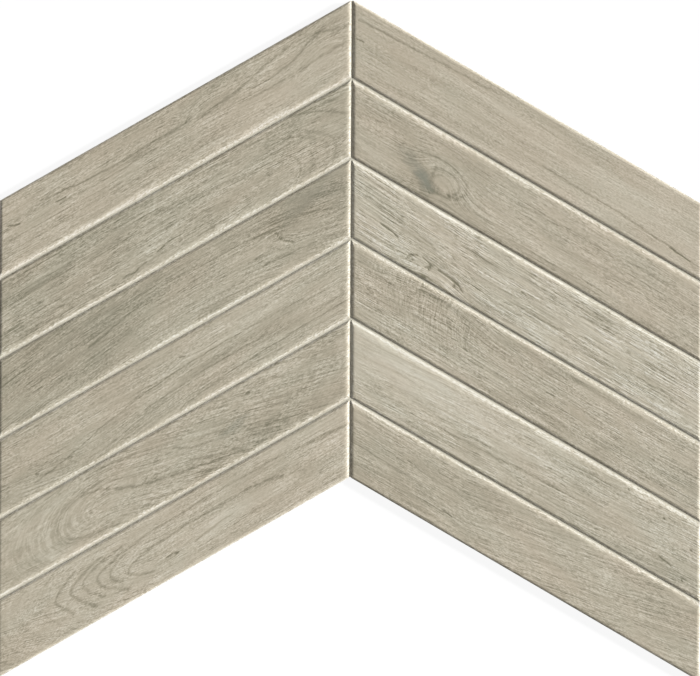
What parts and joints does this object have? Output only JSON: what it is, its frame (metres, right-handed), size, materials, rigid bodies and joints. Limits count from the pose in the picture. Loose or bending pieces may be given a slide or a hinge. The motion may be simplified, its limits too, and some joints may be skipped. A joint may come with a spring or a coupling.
{
  "type": "chevron wall tile",
  "caption": "Chevron wall tile module: wood-look porcelain planks with mitred ends fall away from a middle joint in two mirrored columns, joined by pale grout.",
  "frame": {"origin": "middle of the outline, on the plane the back ribs rest on", "axes": "+X to the right of the face, +Y to the chevron's peak, +Z out of the face"},
  "size_m": [0.7814, 0.7548, 0.009],
  "materials": {
    "printed_porcelain": "matt printed wood grain",
    "joint_grout": "fine sanded cement"
  },
  "bodies": {
    "root": {"plank_left_1": "printed_porcelain", "plank_left_2": "printed_porcelain", "plank_left_3": "printed_porcelain", "plank_left_4": "printed_porcelain", "plank_left_5": "printed_porcelain", "plank_left_6": "printed_porcelain", "plank_right_1": "printed_porcelain", "plank_right_2": "printed_porcelain", "plank_right_3": "printed_porcelain", "plank_right_4": "printed_porcelain", "plank_right_5": "printed_porcelain", "plank_right_6": "printed_porcelain", "joint_grout": "joint_grout"}
  },
  "joints": []
}
